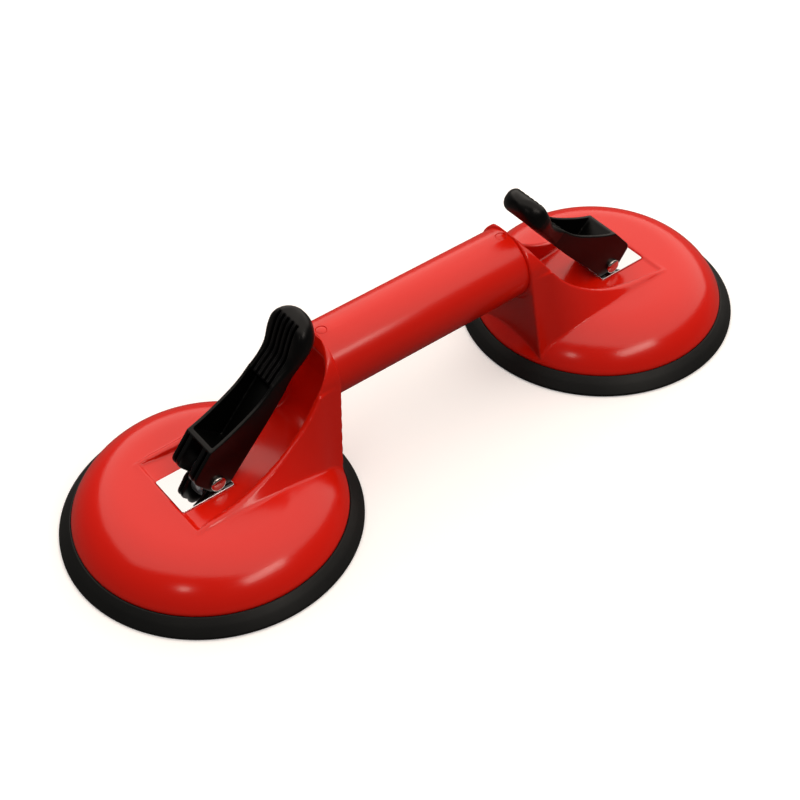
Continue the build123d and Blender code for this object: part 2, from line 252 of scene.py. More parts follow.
# Glass-filled nylon: black, half gloss, with the faint mottle that the fibres leave
MOULDED_NYLON = Finish(
    "moulded_nylon_black", "black_nylon", "#020202", "#050505", 0.30,
    drift_size=8.0, grain_size=0.5, grain_depth=0.012, gloss_spread=0.10, specular=0.21,
)
# Sheet steel with bright chrome: a mirror with very faint rolling marks under it
BRIGHT_CHROME = Finish(
    "bright_chrome", "chromed_plate", "#E6E7EA", "#DCDDE0", 0.06,
    metallic=1.0, drift_size=12.0, grain_size=1.5, grain_depth=0.003, gloss_spread=0.04,
)
# Turned steel under zinc: pale grey, satin
ZINC_STEEL = Finish(
    "zinc_plated_steel", "plain_steel", "#B9BABC", "#A9ABAE", 0.30,
    metallic=1.0, drift_size=6.0, grain_size=0.4, grain_depth=0.006, gloss_spread=0.1,
)
# Drawn wire: darker grey with an oily sheen
DRAWN_WIRE = Finish(
    "drawn_spring_wire", "spring_steel", "#8E8F92", "#7D7E82", 0.26,
    metallic=1.0, drift_size=4.0, grain_size=0.3, grain_depth=0.004,
)
# Nickel on a headed pin: bright and warm
NICKEL_PIN = Finish(
    "nickel_plated_pin", "pin_steel", "#CFCBC6", "#C2BDB7", 0.14,
    metallic=1.0, drift_size=3.0, grain_size=0.4, grain_depth=0.003,
)


@dataclass(frozen=True)
class SoftBox:
    """A lamp that faces the object: its place and face in metres; a glow of 1 is white."""

    name: str
    at: Triple
    width: float
    height: float
    glow: float

    def build(self, tint: str) -> None:
        """Hangs the lamp.

        Args:
            tint: the hex colour of its light.
        """
        data = bpy.data.lights.new(self.name, "AREA")
        data.shape = "RECTANGLE"
        data.size, data.size_y = self.width, self.height
        data.energy = self.glow * math.pi * self.width * self.height
        data.color = colour(tint)[:3]
        lamp = bpy.data.objects.new(self.name, data)
        bpy.context.scene.collection.objects.link(lamp)
        lamp.location = self.at
        lamp.rotation_mode = "QUATERNION"
        lamp.rotation_quaternion = (-Vector(self.at)).to_track_quat("-Z", "Y")


@dataclass
class Studio:
    """Pale floor, soft lights and a camera where the photograph was taken from.

    Angles are in degrees, the lens and sensor in millimetres, all else in metres.
    """

    azimuth: float = -36.48
    elevation: float = 44.84
    roll: float = -1.63
    distance: float = 0.67736
    target: Triple = (-0.00396, 0.00574, 0.0)
    lens: float = 72.28
    sensor: float = 36.0
    near: float = 0.01
    far: float = 50.0
    floor_size: float = 3.2
    fill: float = 0.10
    floor_lift: float = 0.2
    white: str = "#FFFFFF"
    floor_grey: str = "#5E5E5E"
    lamp_white: str = "#FFF3E8"
    lamps: tuple[SoftBox, ...] = (
        SoftBox("ceiling_box", (0.44, 0.37, 1.22), 4.4, 4.4, 1.3),
        SoftBox("front_strip", (0.10, -1.16, 0.94), 0.8, 0.26, 5.2),
        SoftBox("side_lamp", (-1.08, -0.61, 0.85), 0.14, 0.14, 9.0),
    )

    def build_camera(self) -> None:
        """Sets the camera at the photograph's own angle, distance and tilt."""
        turn, lift = math.radians(self.azimuth), math.radians(self.elevation)
        level = math.cos(lift)
        away = Vector((math.sin(turn) * level, -math.cos(turn) * level, math.sin(lift)))
        data = bpy.data.cameras.new("photo_camera")
        data.lens = self.lens
        data.sensor_width = self.sensor
        data.clip_start = self.near
        data.clip_end = self.far
        camera = bpy.data.objects.new("photo_camera", data)
        bpy.context.scene.collection.objects.link(camera)
        camera.location = Vector(self.target) + away * self.distance
        camera.rotation_mode = "QUATERNION"
        upright = (-away).to_track_quat("-Z", "Y")
        camera.rotation_quaternion = upright @ Quaternion((0, 0, 1), math.radians(self.roll))
        bpy.context.scene.camera = camera

    def build_floor(self) -> None:
        """Lays matt paper: white to the camera, and grey to the object, to send little light up."""
        bpy.ops.mesh.primitive_plane_add(size=self.floor_size, location=(0, 0, 0))
        floor = bpy.context.active_object
        floor.name = "studio_floor"
        material = bpy.data.materials.new("matt_white_paper")
        tree = empty_tree(material)
        seen = add_node(tree, "ShaderNodeLightPath").outputs["Is Camera Ray"]
        paper = add_node(tree, "ShaderNodeBsdfPrincipled", {
            "Base Color": mix_colours(tree, seen, self.floor_grey, self.white),
            "Roughness": 0.9,
            "Specular IOR Level": 0.1,
            "Emission Color": colour(self.white),
            "Emission Strength": mix_values(tree, seen, 0.0, self.floor_lift),
        })
        add_node(tree, "ShaderNodeOutputMaterial", {"Surface": paper.outputs["BSDF"]})
        floor.data.materials.append(material)

    def build_world(self) -> None:
        """Surrounds the scene with white for the camera and a low, even fill for the object."""
        world = bpy.data.worlds.new("white_studio")
        bpy.context.scene.world = world
        tree = empty_tree(world)
        seen = add_node(tree, "ShaderNodeLightPath").outputs["Is Camera Ray"]
        glow = add_node(tree, "ShaderNodeBackground", {
            "Color": colour(self.white), "Strength": mix_values(tree, seen, self.fill, 1.0),
        })
        add_node(tree, "ShaderNodeOutputWorld", {"Surface": glow.outputs[0]})

    def build(self) -> None:
        """Builds the whole studio."""
        self.build_floor()
        self.build_world()
        self.build_camera()
        for lamp in self.lamps:
            lamp.build(self.lamp_white)
        bpy.context.scene.view_settings.view_transform = "Standard"


class Cut(Enum):
    """How one solid changes another."""

    ADD = "UNION"
    TAKE = "DIFFERENCE"
    KEEP = "INTERSECT"


class Bench:
    """Hand operations on one mesh at a time, in millimetres."""

    WELD = 0.001  # points nearer than this are one

    @staticmethod
    def take(piece: Piece | None = None) -> None:
        """Leaves edit mode and selects one piece, or nothing, for the operators that follow.

        Args:
            piece: the piece to work on.
        """
        if bpy.context.object is not None and bpy.context.object.mode != "OBJECT":
            bpy.ops.object.mode_set(mode="OBJECT")
        bpy.ops.object.select_all(action="DESELECT")
        if piece is not None:
            piece.select_set(True)
            bpy.context.view_layer.objects.active = piece

    @staticmethod
    def place(
        piece: Piece, at: Triple = (0, 0, 0), turn: Triple = (0, 0, 0), scale: Triple = (1, 1, 1)
    ) -> None:
        """Scales, turns and moves a piece's mesh.

        Args:
            piece: the piece.
            at: how far it moves.
            turn: how far it turns about each axis, in radians.
            scale: how much it grows along each axis.
        """
        Bench.take(piece)
        piece.location = at
        piece.rotation_euler = turn
        piece.scale = scale
        bpy.ops.object.transform_apply(location=True, rotation=True, scale=True)

    @staticmethod
    def lay(piece: Piece, turn: Triple, at: Triple) -> None:
        """Turns an upright piece over, then moves it."""
        Bench.place(piece, turn=turn)
        Bench.place(piece, at=at)

    @staticmethod
    def modify(piece: Piece, kind: str, **settings: object) -> None:
        """Puts a modifier on a piece and applies it.

        Args:
            piece: the piece to change.
            kind: the modifier's type name.
            **settings: the modifier's own properties.
        """
        Bench.take(piece)
        step = piece.modifiers.new(kind.lower(), kind)
        for name, value in settings.items():
            setattr(step, name, value)
        bpy.ops.object.modifier_apply(modifier=step.name)

    @staticmethod
    def smooth(piece: Piece, angle: float) -> None:
        """Shades a piece smooth, apart from edges that turn by more than an angle in degrees."""
        Bench.take(piece)
        bpy.ops.object.shade_smooth_by_angle(angle=math.radians(angle))

    @staticmethod
    def face_outwards() -> None:
        """Turns the edited mesh's faces outwards."""
        bpy.ops.mesh.select_all(action="SELECT")
        bpy.ops.mesh.normals_make_consistent(inside=False)

    @staticmethod
    def key(point: Vector) -> tuple[float, ...]:
        """A point's rounded place, to find the point again by."""
        return tuple(round(value, 3) for value in point)

    @staticmethod
    def loop(points: Sequence[Vector], filled: bool) -> Piece:
        """Sets the corners of a round primitive to an outline's points.

        Args:
            points: the outline, in order.
            filled: whether the outline gets a face.

        Returns:
            The outline as an object.
        """
        Bench.take()
        fill = "NGON" if filled else "NOTHING"
        bpy.ops.mesh.primitive_circle_add(vertices=len(points), radius=1.0, fill_type=fill)
        outline = bpy.context.active_object
        for vertex, point in zip(outline.data.vertices, points):
            vertex.co = point
        return outline

    @staticmethod
    def loft(rings: Sequence[Sequence[Vector]]) -> Piece:
        """Extrudes an outline from section to section into a closed solid.

        Args:
            rings: sections with equal numbers of points.

        Returns:
            The solid.
        """
        solid = Bench.loop(rings[0], filled=True)
        Bench.take(solid)
        bpy.ops.object.mode_set(mode="EDIT")
        bpy.ops.mesh.select_mode(type="FACE")
        bpy.ops.mesh.select_all(action="SELECT")
        for before, after in zip(rings, rings[1:]):
            bpy.ops.mesh.extrude_region_move()
            bpy.ops.object.mode_set(mode="OBJECT")
            goal = {Bench.key(old): new for old, new in zip(before, after)}
            for vertex in solid.data.vertices:
                if vertex.select:
                    vertex.co = goal[Bench.key(vertex.co)]
            bpy.ops.object.mode_set(mode="EDIT")
        Bench.face_outwards()
        bpy.ops.object.mode_set(mode="OBJECT")
        return solid

    @staticmethod
    def prism(
        points: Sequence[Point], view: Callable[[float, float, float], Vector],
        low: float, high: float,
    ) -> Piece:
        """Extrudes a flat outline between two depths.

        Args:
            points: the outline's own two coordinates.
            view: turns them and a depth to a point in space.
            low: the first depth.
            high: the last depth.

        Returns:
            The solid.
        """
        ends = [[view(first, second, depth) for first, second in points] for depth in (low, high)]
        return Bench.loft(ends)

    @staticmethod
    def lathe(profile: Sequence[Point], steps: int, closed: bool = False) -> Piece:
        """Spins a profile of radius and height round the upright axis.

        Args:
            profile: the profile's points, from axis to axis unless it is closed.
            steps: how many faces go round.
            closed: whether the profile comes back to its first point.

        Returns:
            The turned solid.
        """
        solid = Bench.loop([Vector((radius, 0, height)) for radius, height in profile], filled=False)
        Bench.take(solid)
        bpy.ops.object.mode_set(mode="EDIT")
        if not closed:
            bpy.ops.mesh.select_mode(type="EDGE")
            bpy.ops.mesh.select_all(action="DESELECT")
            bpy.ops.object.mode_set(mode="OBJECT")
            for edge in solid.data.edges:
                edge.select = set(edge.vertices) == {0, len(profile) - 1}
            bpy.ops.object.mode_set(mode="EDIT")
            bpy.ops.mesh.delete(type="EDGE")
        bpy.ops.mesh.select_all(action="SELECT")
        bpy.ops.mesh.spin(steps=steps, angle=math.tau, center=(0, 0, 0), axis=(0, 0, 1))
        bpy.ops.mesh.select_all(action="SELECT")
        bpy.ops.mesh.remove_doubles(threshold=Bench.WELD)
        Bench.face_outwards()
        bpy.ops.object.mode_set(mode="OBJECT")
        return solid

    @staticmethod
    def bar(radius: float, low: float, high: float, steps: int) -> Piece:
        """Turns an upright round bar on the axis."""
        return Bench.lathe([(0.0, high), (radius, high), (radius, low), (0.0, low)], steps)

    @staticmethod
    def combine(base: Piece, tool: Piece, how: Cut) -> Piece:
        """Adds, takes or keeps what two solids share, and uses the tool up.

        Args:
            base: the solid that changes.
            tool: the solid that changes it.
            how: which of the three.

        Returns:
            The base.
        """
        Bench.modify(base, "BOOLEAN", operation=how.value, solver="MANIFOLD", object=tool)
        bpy.data.objects.remove(tool, do_unlink=True)
        return base

    @staticmethod
    def soften(piece: Piece, grid: float, passes: int, keep: float = 1.0) -> None:
        """Rounds every edge and corner a little, as a mould does.

        Args:
            piece: the piece to round.
            grid: the size of the new mesh's faces.
            passes: how often each point moves towards its neighbours.
            keep: the share of the faces to keep; the flattest go first.
        """
        Bench.modify(piece, "REMESH", mode="VOXEL", voxel_size=grid)
        Bench.modify(piece, "SMOOTH", factor=0.5, iterations=passes)
        if keep < 1.0:
            Bench.modify(piece, "DECIMATE", ratio=keep)
        bpy.ops.object.shade_smooth()

    @staticmethod
    def round_edges(piece: Piece, width: float, segments: int, sharp: float = 40.0) -> None:
        """Bevels the sharp edges and shades the rest smooth.

        Args:
            piece: the piece to round.
            width: the bevel's width.
            segments: how many faces go over each edge.
            sharp: the least turn, in degrees, that counts as sharp.
        """
        limit = math.radians(sharp)
        Bench.modify(
            piece, "BEVEL", width=width, segments=segments, limit_method="ANGLE", angle_limit=limit
        )
        Bench.smooth(piece, 35)


def through(points: Sequence[Point], at: float) -> float:
    """Reads a smooth curve through points at one place.

    Args:
        points: places and values, in order of place.
        at: where to read.

    Returns:
        The value there, along a cubic whose slopes follow the neighbours.
    """
    places = [place for place, _ in points]
    span = max(0, min(len(points) - 2, sum(place <= at for place in places) - 1))
    (x0, y0), (x1, y1) = points[span], points[span + 1]
    before = points[max(span - 1, 0)]
    after = points[min(span + 2, len(points) - 1)]
    slope0 = (y1 - before[1]) / (x1 - before[0])
    slope1 = (after[1] - y0) / (after[0] - x0)
    t = (at - x0) / (x1 - x0)
    width = x1 - x0
    return (
        (2 * t**3 - 3 * t**2 + 1) * y0
        + (t**3 - 2 * t**2 + t) * width * slope0
        + (3 * t**2 - 2 * t**3) * y1
        + (t**3 - t**2) * width * slope1
    )


def spread(low: float, high: float, count: int) -> list[float]:
    """Even steps from low to high, both included."""
    return [low + (high - low) * step / (count - 1) for step in range(count)]


def arc(centre: Point, radius: float, start: float, end: float, count: int) -> list[Point]:
    """Points along a circle's arc, its angles in degrees from the first axis."""
    turns = [math.radians(angle) for angle in spread(start, end, count)]
    return [(centre[0] + radius * math.cos(t), centre[1] + radius * math.sin(t)) for t in turns]


def quarter(centre: Point, reach: float, rise: float, count: int) -> list[Point]:
    """Points along a quarter of an ellipse, from above its centre out to beside it."""
    turns = [math.radians(angle) for angle in spread(0, 90, count)]
    return [(centre[0] + reach * math.sin(t), centre[1] + rise * math.cos(t)) for t in turns]


def oblong(low: Point, high: Point) -> list[Point]:
    """A rectangle's corners, from its lowest and its highest."""
    return [low, (high[0], low[1]), high, (low[0], high[1])]


def mirrored(line: Sequence[Point]) -> list[Point]:
    """A line of places and half-widths, then the line on the far side, back to its start."""
    return [*line, *((along, -half) for along, half in reversed(line))]


def rounded(corners: Sequence[Triple], count: int = 6) -> list[Point]:
    """Rounds the corners of an outline.

    Args:
        corners: two coordinates and a radius for each corner, in order round the outline.
        count: points on each rounded corner.

    Returns:
        The outline's points.
    """
    points: list[Point] = []
    for index, (first, second, radius) in enumerate(corners):
        here = Vector((first, second))
        if radius <= 0:
            points.append((first, second))
            continue
        back = (Vector(corners[index - 1][:2]) - here).normalized()
        ahead = (Vector(corners[(index + 1) % len(corners)][:2]) - here).normalized()
        half = back.angle(ahead) / 2
        centre = here + (back + ahead).normalized() * radius / math.sin(half)
        start = here + back * radius / math.tan(half) - centre
        end = here + ahead * radius / math.tan(half) - centre
        sweep = math.atan2(start.x * end.y - start.y * end.x, start.dot(end))
        for step in range(count):
            turn = Matrix.Rotation(sweep * step / (count - 1), 2)
            points.append(tuple(centre + turn @ start))
    return points


def side_view(along: float, up: float, across: float) -> Vector:
    """A point of an outline drawn from the side."""
    return Vector((along, across, up))


def plan_view(along: float, across: float, up: float) -> Vector:
    """A point of an outline drawn from above."""
    return Vector((along, across, up))


@dataclass
class Fitter:
    """Sets finished pieces on the tool: places and dresses them, and ties them to their bodies."""

    spacing: float = 203.0
    made: dict[str, bpy.types.Material] = field(default_factory=dict)

    def material(self, finish: Finish) -> bpy.types.Material:
        """Builds a finish once and hands it out each time.

        Args:
            finish: the finish.

        Returns:
            Its material.
        """
        if finish.name not in self.made:
            self.made[finish.name] = finish.build()
        return self.made[finish.name]

    def dress(self, piece: Piece, finish: Finish) -> None:
        """Gives a piece one finish in place of what it has."""
        piece.data.materials.clear()
        piece.data.materials.append(self.material(finish))

    def settle(self, piece: Piece, name: str, node: str, body: str, finish: Finish) -> None:
        """Turns a piece to metres and sets it in for its node.

        Args:
            piece: the piece, in millimetres and in place.
            name: what the piece is called.
            node: the solid that it stands for.
            body: the body that it moves with.
            finish: what its surface is.
        """
        Bench.place(piece, scale=(MM, MM, MM))
        piece.name = name
        piece.data.name = name
        self.dress(piece, finish)
        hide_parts(node)
        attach(piece, body)
        LOG.info("%s: %d faces", name, len(piece.data.polygons))

    def on_both_cups(
        self, piece: Piece, part: str, form: str, body: str, finish: Finish
    ) -> dict[Side, Piece]:
        """Sets a cup's piece on the right cup, and a mirrored copy on the left.

        Args:
            piece: the piece, drawn about the cup's own axis.
            part: the node's name without its side.
            form: the word that the new piece's name ends with.
            body: the body's name, without its side where it has one.
            finish: what its surface is.

        Returns:
            The piece of each side.
        """
        pair = {}
        for side in Side:
            copy = piece.copy()
            copy.data = piece.data.copy()
            bpy.context.scene.collection.objects.link(copy)
            Bench.place(copy, at=(side.value * self.spacing / 2, 0, 0), scale=(side.value, 1, 1))
            if side is Side.LEFT:
                bpy.ops.object.mode_set(mode="EDIT")
                Bench.face_outwards()
                bpy.ops.object.mode_set(mode="OBJECT")
            name = f"{side.word}_{part}"
            own_body = body if body == "frame" else f"{side.word}_{body}"
            self.settle(copy, f"{name}_{form}", name, own_body, finish)
            pair[side] = copy
        bpy.data.objects.remove(piece, do_unlink=True)
        return pair


@dataclass
class RubberPad:
    """Moulded suction disc: sealing ring, sloped lip, seat for the housing, membrane and boss."""

    outer: float = 60.0
    outer_height: float = 1.5
    ring: float = 52.0
    ring_slope: float = 2.4
    ring_edge: float = 0.5
    hollow: float = 1.2
    lip: float = 55.0
    lip_height: float = 7.2
    bulge: float = 2.4
    bulge_height: float = 4.75
    seat: float = 54.6
    seat_inner: float = 50.5
    seat_height: float = 6.5
    membrane: float = 48.5
    membrane_top: float = 4.2
    boss: float = 20.5
    boss_slope: float = 3.0
    boss_top: float = 8.0
    pocket: float = 17.3
    pocket_floor: float = 6.0

    def shape(self) -> Piece:
        """Turns the pad with the soft corners that rubber leaves its mould with.

        Returns:
            The pad.
        """
        # radius, height and rounding, from the axis underneath round to the axis on top
        corners = [
            (0.0, self.hollow, 0.0),
            (self.ring - self.ring_slope, self.hollow, 1.5),
            (self.ring, 0.0, 0.8),
            (self.outer - self.ring_edge, 0.0, 0.3),
            (self.outer, self.ring_edge, 0.3),
            (self.outer, self.outer_height, 0.35),
            (self.lip + self.bulge, self.bulge_height, 14.0),
            (self.lip, self.lip_height, 0.4),
            (self.seat, self.lip_height, 0.15),
            (self.seat, self.seat_height, 0.0),
            (self.seat_inner, self.seat_height, 0.8),
            (self.membrane, self.membrane_top, 1.2),
            (self.boss + self.boss_slope, self.membrane_top, 1.5),
            (self.boss, self.boss_top, 0.6),
            (self.pocket, self.boss_top, 0.3),
            (self.pocket, self.pocket_floor, 0.0),
            (0.0, self.pocket_floor, 0.0),
        ]
        pad = Bench.lathe(rounded(corners, 5), 192)
        Bench.smooth(pad, 38)
        return pad

    def build(self, fitter: Fitter) -> None:
        """Sets a pad under each housing."""
        fitter.on_both_cups(self.shape(), "rubber_pad", "disc", "frame", MOULDED_RUBBER)


@dataclass
class CupHousing:
    """Red moulding: domed cap, saddle under the handle, neck, spigot, and the lever's hollow."""

    # the dome, and the hollow and ribs under it
    rim: float = 54.3
    rim_height: float = 8.0
    foot: float = 6.5
    crown: float = 24.6
    crown_arc: float = 569.0
    shoulder: float = 32.0
    wall: float = 2.8
    cavity: float = 19.6
    cavity_sag: float = 0.5
    ribs: int = 8
    rib_wall: float = 2.0
    rib_start: float = 26.0
    rib_depth: float = 6.0
    rib_end: float = 9.5
    boss: float = 8.5
    boss_depth: float = 1.0
    hole: float = 5.2
    # the neck and spigot on the handle's axis, and the draft of the faces by them
    axis: float = 52.4
    offset: float = 54.0
    draft: float = 5.3
    neck: float = 16.2
    neck_length: float = 26.0
    spigot: float = 12.95
    spigot_wall: float = 2.5
    spigot_length: float = 25.0
    rivet_hole: float = 1.55
    rivet_inset: float = 3.0
    # the hollow's edge seen from the side: lowest, with an arc and a slope behind it
    crest_low: float = 25.3
    crest_at: float = 8.0
    crest_arc: float = 62.0
    crest_front: float = 48.0
    crest_slope: float = 56.0
    steep_end: float = -16.0
    # the hollow, and the wear plate's pocket in its floor
    floor: float = 23.4
    recess_end: float = 17.3
    web: float = 3.0
    corner: float = 8.0
    tail: Triple = (-44.5, 8.2, 6.5)
    tail_end: float = -41.0
    plate_seat: float = 22.4
    pocket: tuple[Point, Point] = ((-6.55, -10.15), (17.15, 10.15))
    pocket_corner: float = 0.95
    # the saddle's crease with the dome, and the small step along it
    crease_least: float = 5.0
    crease_depth: float = 0.4
    crease_toe: float = 0.4
    crease_lean: float = 0.15
    crease_fall: float = 2.35
    crease_end: float = 22.9
    dome_kept: float = 10.8
    # place along the cup, then the half-widths of the saddle's edge and of its crease
    stations: tuple[Triple, ...] = (
        (-54.0, 16.2, 19.3),
        (-46.0, 16.8, 19.9),
        (-38.0, 18.1, 22.6),
        (-28.0, 19.0, 24.0),
        (-16.0, 20.2, 24.2),
        (-4.0, 21.3, 24.1),
        (8.0, 22.4, 23.6),
        (20.0, 22.6, 22.9),
    )
    # place along the cup and the hollow's half-width
    hollow: tuple[Point, ...] = (
        (-51.0, 13.6), (-40.0, 15.2), (-28.0, 16.7), (-16.0, 17.8), (-4.0, 19.0), (8.0, 20.2),
        (17.3, 21.3),
    )
    # how far cutters reach: across the cup, towards the handle, and up
    aside: float = 60.0
    beyond: float = 90.0
    above: float = 105.0

    def dome_height(self, radius: float) -> float:
        """Finds the height of the dome's outside.

        Args:
            radius: the distance from the cup's axis.

        Returns:
            The height: on the crown's arc, or on the arc that bends down to the rim.
        """
        lean = math.asin(self.shoulder / self.crown_arc)
        edge = self.crown - self.crown_arc * (1 - math.cos(lean))
        if radius <= self.shoulder:
            return self.crown - self.crown_arc + math.sqrt(self.crown_arc**2 - radius**2)
        run, drop = self.rim - self.shoulder, edge - self.rim_height
        bend = math.hypot(run, drop) / (2 * math.sin(math.atan2(drop, run) - lean))
        middle = (self.shoulder - bend * math.sin(lean), edge - bend * math.cos(lean))
        return middle[1] + math.sqrt(max(bend**2 - (radius - middle[0]) ** 2, 0.0))

    def crest_height(self, along: float) -> float:
        """Finds the height of the hollow's edge.

        Args:
            along: the place along the cup.

        Returns:
            The height: on the front's parabola, the arc behind it, or the straight slope.
        """
        bend = math.radians(self.crest_slope)
        knee = self.crest_at - self.crest_arc * math.sin(bend)
        past = along - self.crest_at
        if past > 0:
            return self.crest_low - past**2 / (2 * self.crest_front)
        if along > knee:
            return self.crest_low + self.crest_arc - math.sqrt(self.crest_arc**2 - past**2)
        knee_height = self.crest_low + self.crest_arc * (1 - math.cos(bend))
        return knee_height + (knee - along) * math.tan(bend)

    def lean(self, height: float) -> float:
        """How far a drafted face has come away from the handle, down at a height."""
        return (self.axis - height) * math.tan(math.radians(self.draft))

    def side_cutter(self, outline: Sequence[Point]) -> Piece:
        """An outline drawn from the side, as wide as the cup and more."""
        return Bench.prism(outline, side_view, -self.aside, self.aside)

    def handle_bar(self, radius: float, start: float, length: float) -> Piece:
        """Turns a solid bar on the handle's axis.

        Args:
            radius: the bar's radius.
            start: where it starts, along the cup.
            length: how long it is.

        Returns:
            The bar.
        """
        bar = Bench.bar(radius, 0.0, length, 96)
        Bench.lay(bar, ALONG_HANDLE, (start, 0, self.axis))
        return bar

    def dome(self) -> Piece:
        """Turns the solid cap, down to its foot.

        Returns:
            The cap.
        """
        bend = [math.sin(math.radians(turn)) for turn in spread(0, 90, 22)]
        slope = [self.shoulder + (self.rim - self.shoulder) * share for share in bend]
        radii = spread(0, self.shoulder, 9)[:-1] + slope
        profile = [(radius, self.dome_height(radius)) for radius in radii]
        return Bench.lathe(profile + [(self.rim, self.foot), (0.0, self.foot)], 256)

    def inside(self) -> Piece:
        """Turns what is hollow under the dome.

        Returns:
            The hollow as a solid.
        """
        inner = self.rim - self.wall
        reach, rise = inner - self.shoulder, self.cavity - self.cavity_sag - self.rim_height
        bend = quarter((self.shoulder, self.rim_height), reach, rise, 12)
        return Bench.lathe([(0.0, self.cavity)] + bend + [(inner, 0.0), (0.0, 0.0)], 192)

    def saddle(self) -> Piece:
        """Lofts the wedge that carries the handle; its sides twist from upright to flat.

        Returns:
            The wedge, cut off at the drafted face that meets the handle.
        """
        crests = [(along, crest) for along, crest, _ in self.stations]
        creases = [(along, crease) for along, _, crease in self.stations]
        rings = []
        for along in spread(self.stations[0][0], self.stations[-1][0], 75):
            crest, crease = through(crests, along), through(creases, along)
            top = min(self.crest_height(along), self.axis)
            dome = self.dome_height(math.hypot(along, crease))
            low = max(dome, self.rim_height + self.crease_least) - self.crease_depth
            toe = crease + self.crease_toe
            side = [
                (toe, self.rim_height), (toe, low - self.crease_fall),
                (crease + self.crease_lean, low), (crest, top),
            ]
            outline = side + [(-half, height) for half, height in reversed(side)]
            rings.append([Vector((along, half, height)) for half, height in outline])
        behind = [
            (-self.offset, self.axis),
            (-self.offset + self.lean(self.rim_height), self.rim_height),
            (-self.beyond, self.rim_height),
            (-self.beyond, self.axis),
        ]
        return Bench.combine(Bench.loft(rings), self.side_cutter(behind), Cut.TAKE)

    def above_crest(self) -> Piece:
        """Draws what lies above the hollow's edge on the steep part.

        Returns:
            The cutter.
        """
        start, top = -71.0, 110.0
        edge = [(along, self.crest_height(along)) for along in spread(start, self.steep_end, 40)]
        return self.side_cutter(edge + [(self.steep_end, top), (start, top)])

    def scoop(self) -> Piece:
        """Draws the lever's hollow: flat floor, rounded back corner and leaning back wall.

        Returns:
            The hollow as a solid.
        """
        back = self.web - self.offset
        side = rounded([
            (self.recess_end, self.floor, 0.0),
            (back + self.lean(self.floor), self.floor, self.corner),
            (back, self.axis, 0.0), (back, self.above, 0.0), (self.recess_end, self.above, 0.0),
        ], 16)
        middle, half, radius = self.tail
        places = spread(self.tail_end, self.recess_end, 44)
        line = [(middle - radius, 0.0)] + arc((middle, half), radius, 180, 98, 14)
        line += [(along, through(self.hollow, along)) for along in places]
        plan = mirrored(line)[:-1]
        block = Bench.prism(plan, plan_view, self.floor - 0.01, self.above + 1.0)
        return Bench.combine(block, self.side_cutter(side), Cut.KEEP)

    def rib_wheel(self) -> Piece:
        """Sets radial ribs, kept to the hollow under the dome.

        Returns:
            The ribs as one solid.
        """
        outline = [
            (self.rib_start, self.crown), (self.rib_start, self.cavity - self.rib_depth),
            (self.rim, self.rib_end), (self.rim, self.crown),
        ]
        half = self.rib_wall / 2
        wheel = None
        for index in range(self.ribs):
            turn = Matrix.Rotation(math.tau * (index + 0.5) / self.ribs, 3, "Z")
            rib = Bench.prism(
                outline, lambda along, up, across, turn=turn: turn @ side_view(along, up, across),
                -half, half,
            )
            wheel = rib if wheel is None else Bench.combine(wheel, rib, Cut.ADD)
        return Bench.combine(wheel, self.inside(), Cut.KEEP)

    def plate_pocket(self) -> Piece:
        """Draws the shallow pocket that the wear plate lies in."""
        corners = [(*corner, self.pocket_corner) for corner in oblong(*self.pocket)]
        return Bench.prism(rounded(corners), plan_view, self.plate_seat, self.floor + 2)

    def shape(self) -> Piece:
        """Builds the moulding, then rounds its edges as the mould does.

        Returns:
            The housing.
        """
        crease = [(along, half) for along, _, half in self.stations[2:7]]
        crease.append((self.recess_end, self.crease_end))
        places = spread(crease[0][0], self.recess_end, 40)
        footprint = mirrored([(along, through(crease, along)) for along in places])
        spigot_start = -self.offset - self.spigot_length
        bore = self.spigot - self.spigot_wall
        shell = self.dome()
        for make, how in (
            (lambda: Bench.prism(footprint, plan_view, self.dome_kept, 100.0), Cut.TAKE),
            (self.saddle, Cut.ADD),
            (lambda: self.handle_bar(self.neck, -self.offset, self.neck_length), Cut.ADD),
            (self.above_crest, Cut.TAKE),
            (self.scoop, Cut.TAKE),
            (self.plate_pocket, Cut.TAKE),
            (self.inside, Cut.TAKE),
            (self.rib_wheel, Cut.ADD),
            (lambda: Bench.bar(
                self.boss, self.cavity - self.boss_depth, self.cavity + self.boss_depth, 96
            ), Cut.ADD),
            (lambda: Bench.bar(self.hole, 10.0, 40.0, 96), Cut.TAKE),
            (lambda: self.handle_bar(self.spigot, spigot_start, self.spigot_length + 0.5), Cut.ADD),
            (lambda: self.handle_bar(bore, spigot_start - 1.0, self.spigot_length + 1.0), Cut.TAKE),
        ):
            Bench.combine(shell, make(), how)
        rivet = Bench.bar(self.rivet_hole, 54.0, 80.0, 32)
        Bench.place(rivet, at=(-self.offset - self.rivet_inset, 0, 0))
        Bench.combine(shell, rivet, Cut.TAKE)
        Bench.soften(shell, grid=0.52, passes=4, keep=0.55)
        return shell

    def build(self, fitter: Fitter) -> None:
        """Sets a housing on each pad."""
        fitter.on_both_cups(self.shape(), "housing", "moulding", "frame", MOULDED_ABS)


